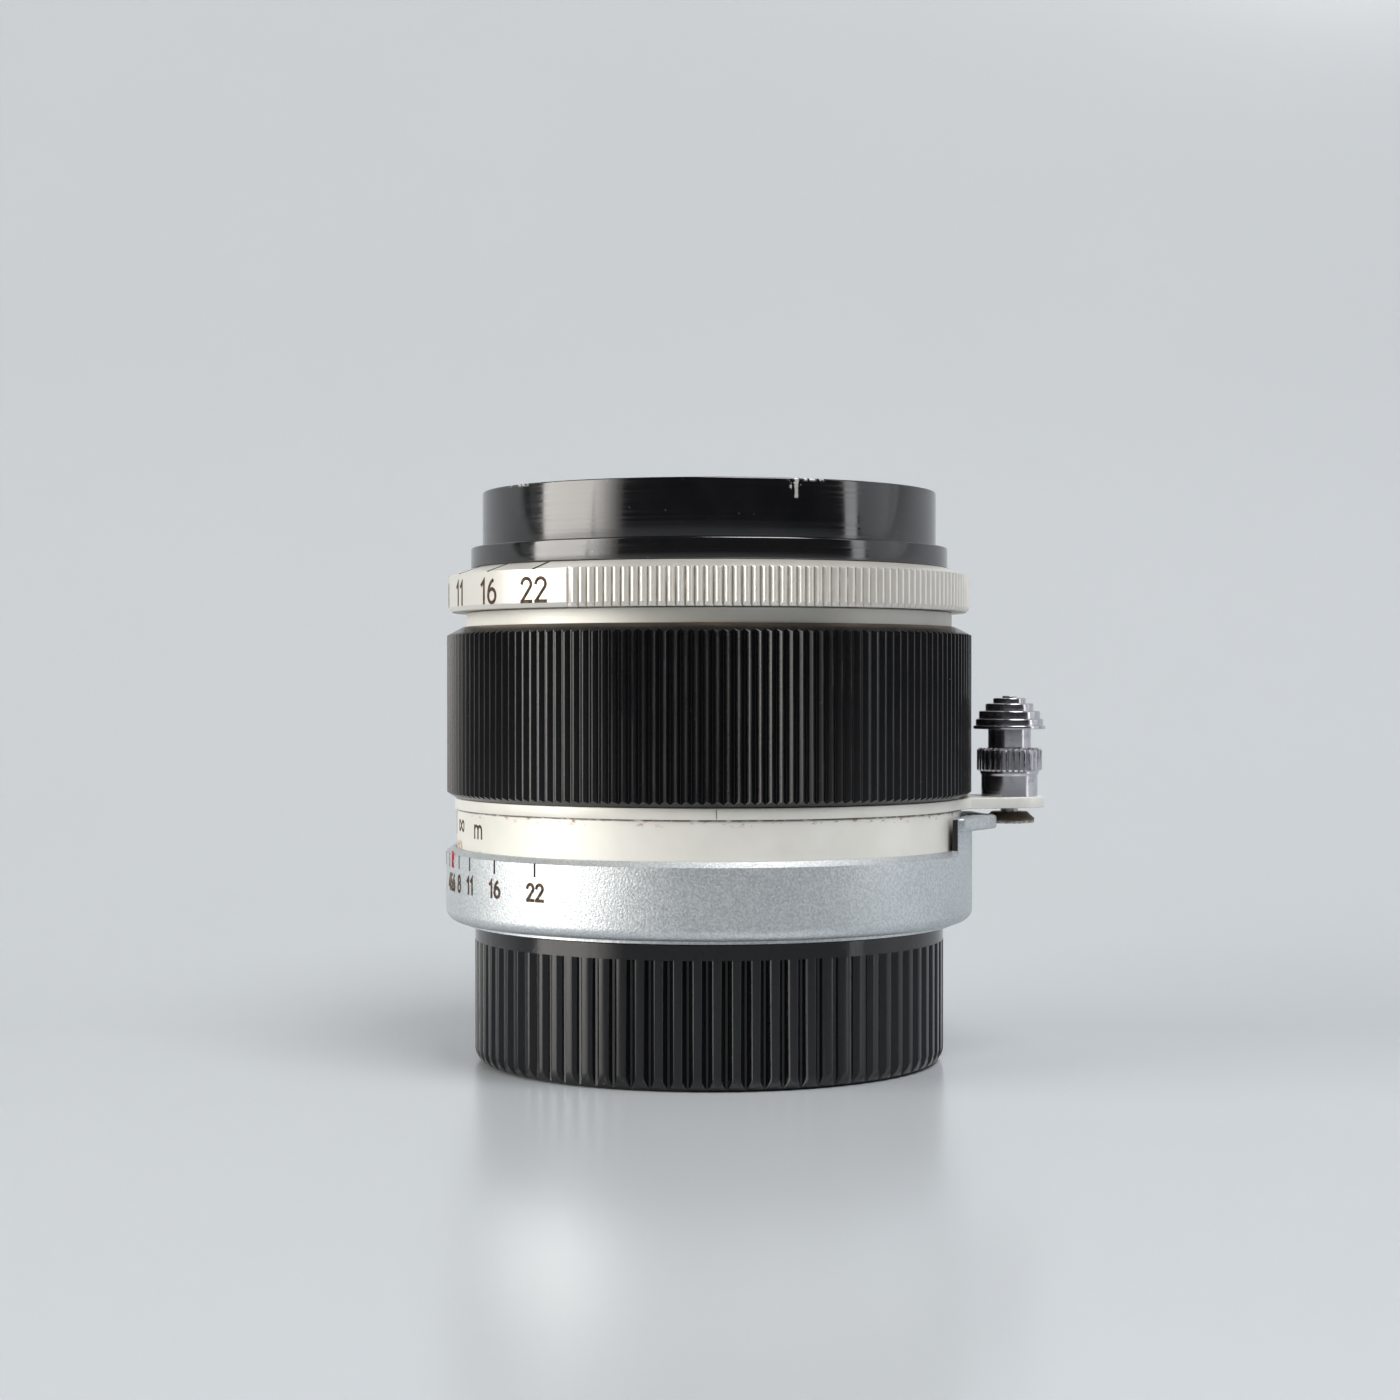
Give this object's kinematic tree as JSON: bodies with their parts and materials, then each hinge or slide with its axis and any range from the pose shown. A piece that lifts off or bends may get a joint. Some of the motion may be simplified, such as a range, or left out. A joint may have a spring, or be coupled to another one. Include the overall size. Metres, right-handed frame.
{
  "type": "focusing camera lens",
  "caption": "Compact screw-mount lens with ribbed focus and aperture rings, engraved scales and an infinity lock knob, standing on its ribbed rear cap.",
  "frame": {"origin": "on the optical axis, at the underside of the rear cap", "axes": "+Z along the optical axis towards the subject, +X towards the infinity lock knob"},
  "size_m": [0.0548, 0.048, 0.0515],
  "materials": {
    "black_enamel": "gloss",
    "black_rib": "satin",
    "satin_chrome": "satin",
    "ivory_chrome": "satin",
    "knurled_chrome": "satin",
    "dark_chrome": "gloss",
    "steel": "satin",
    "brass": "satin",
    "black_anodised": "matte",
    "aluminium": "satin",
    "glass": "gloss",
    "blade_steel": "matte",
    "cap_black": "gloss"
  },
  "bodies": {
    "mount": {"depth_scale_ring": "satin_chrome", "screw_mount": "satin_chrome", "fixed_helicoid": "brass", "mount_screws": "steel", "guide_keys": "brass", "key_screws": "steel"},
    "rear_cap": {"rear_cap": "cap_black"},
    "lens_head": {"inner_barrel": "aluminium", "front_collar": "ivory_chrome", "click_ball": "steel", "click_spring": "steel", "head_retainer": "brass", "aperture_retainer": "black_enamel", "filter_ring": "black_enamel", "filter_ring_screws": "steel", "name_ring": "black_anodised", "front_cell": "black_anodised", "front_element": "glass", "front_doublet_crown": "glass", "front_doublet_flint": "glass", "front_doublet_ring": "black_anodised", "rear_cell": "black_anodised", "rear_doublet_flint": "glass", "rear_doublet_crown": "glass", "rear_doublet_ring": "black_anodised", "rear_element": "glass", "rear_element_ring": "black_anodised", "rangefinder_cam": "brass", "blade_seat": "black_anodised"},
    "aperture_ring": {"aperture_ring": "knurled_chrome", "iris_drive_ring": "black_anodised", "drive_screw": "steel"},
    "focus_ring": {"focus_helicoid": "brass", "distance_ring": "ivory_chrome", "lock_plate": "ivory_chrome", "focus_grip": "black_rib", "clamp_screws": "steel", "grip_screws": "steel", "lock_housing": "dark_chrome", "lock_spring": "steel"},
    "lock_plunger": {"lock_button": "dark_chrome", "lock_pin": "steel", "lock_disc": "steel"},
    "iris_blade_01": {"iris_blade_01": "blade_steel"},
    "iris_blade_02": {"iris_blade_02": "blade_steel"},
    "iris_blade_03": {"iris_blade_03": "blade_steel"},
    "iris_blade_04": {"iris_blade_04": "blade_steel"},
    "iris_blade_05": {"iris_blade_05": "blade_steel"},
    "iris_blade_06": {"iris_blade_06": "blade_steel"},
    "iris_blade_07": {"iris_blade_07": "blade_steel"},
    "iris_blade_08": {"iris_blade_08": "blade_steel"},
    "iris_blade_09": {"iris_blade_09": "blade_steel"},
    "iris_blade_10": {"iris_blade_10": "blade_steel"}
  },
  "joints": [
    {"name": "cap_pull", "type": "slide", "parent": "mount", "child": "rear_cap", "axis": [0, 0, -1], "range_m": [0, 0.014]},
    {"name": "head_advance", "type": "slide", "parent": "mount", "child": "lens_head", "axis": [0, 0, 1], "range_m": [0, 0.00298]},
    {"name": "focus_turn", "type": "hinge", "parent": "lens_head", "child": "focus_ring", "pos_m": [0, 0, 0.03], "axis": [0, 0, 1], "range_deg": [0, 180]},
    {"name": "lock_press", "type": "slide", "parent": "focus_ring", "child": "lock_plunger", "axis": [0, 0, -1], "range_m": [0, 0.0015], "stiffness_N_per_m": 300, "springref_m": -0.003, "deforming": ["lock_spring"]},
    {"name": "aperture_turn", "type": "hinge", "parent": "lens_head", "child": "aperture_ring", "pos_m": [0, 0, 0.0426], "axis": [0, 0, 1], "range_deg": [-43.8, 62.8]},
    {"name": "blade_swing_01", "type": "hinge", "parent": "lens_head", "child": "iris_blade_01", "pos_m": [0.0133, 0, 0.03095], "axis": [0, 0, 1], "range_deg": [-18.1, 25.94]},
    {"name": "blade_swing_02", "type": "hinge", "parent": "lens_head", "child": "iris_blade_02", "pos_m": [0.01076, 0.00782, 0.03095], "axis": [0, 0, 1], "range_deg": [-18.1, 25.94]},
    {"name": "blade_swing_03", "type": "hinge", "parent": "lens_head", "child": "iris_blade_03", "pos_m": [0.00411, 0.01265, 0.03095], "axis": [0, 0, 1], "range_deg": [-18.1, 25.94]},
    {"name": "blade_swing_04", "type": "hinge", "parent": "lens_head", "child": "iris_blade_04", "pos_m": [-0.00411, 0.01265, 0.03095], "axis": [0, 0, 1], "range_deg": [-18.1, 25.94]},
    {"name": "blade_swing_05", "type": "hinge", "parent": "lens_head", "child": "iris_blade_05", "pos_m": [-0.01076, 0.00782, 0.03095], "axis": [0, 0, 1], "range_deg": [-18.1, 25.94]},
    {"name": "blade_swing_06", "type": "hinge", "parent": "lens_head", "child": "iris_blade_06", "pos_m": [-0.0133, 0, 0.03095], "axis": [0, 0, 1], "range_deg": [-18.1, 25.94]},
    {"name": "blade_swing_07", "type": "hinge", "parent": "lens_head", "child": "iris_blade_07", "pos_m": [-0.01076, -0.00782, 0.03095], "axis": [0, 0, 1], "range_deg": [-18.1, 25.94]},
    {"name": "blade_swing_08", "type": "hinge", "parent": "lens_head", "child": "iris_blade_08", "pos_m": [-0.00411, -0.01265, 0.03095], "axis": [0, 0, 1], "range_deg": [-18.1, 25.94]},
    {"name": "blade_swing_09", "type": "hinge", "parent": "lens_head", "child": "iris_blade_09", "pos_m": [0.00411, -0.01265, 0.03095], "axis": [0, 0, 1], "range_deg": [-18.1, 25.94]},
    {"name": "blade_swing_10", "type": "hinge", "parent": "lens_head", "child": "iris_blade_10", "pos_m": [0.01076, -0.00782, 0.03095], "axis": [0, 0, 1], "range_deg": [-18.1, 25.94]}
  ],
  "couplings": [
    {"joint": "focus_turn", "follows": "head_advance", "rad_per_m": 1054.2},
    {"joint": "blade_swing_01", "follows": "aperture_turn", "ratio": 0.41276},
    {"joint": "blade_swing_02", "follows": "aperture_turn", "ratio": 0.41276},
    {"joint": "blade_swing_03", "follows": "aperture_turn", "ratio": 0.41276},
    {"joint": "blade_swing_04", "follows": "aperture_turn", "ratio": 0.41276},
    {"joint": "blade_swing_05", "follows": "aperture_turn", "ratio": 0.41276},
    {"joint": "blade_swing_06", "follows": "aperture_turn", "ratio": 0.41276},
    {"joint": "blade_swing_07", "follows": "aperture_turn", "ratio": 0.41276},
    {"joint": "blade_swing_08", "follows": "aperture_turn", "ratio": 0.41276},
    {"joint": "blade_swing_09", "follows": "aperture_turn", "ratio": 0.41276},
    {"joint": "blade_swing_10", "follows": "aperture_turn", "ratio": 0.41276}
  ]
}
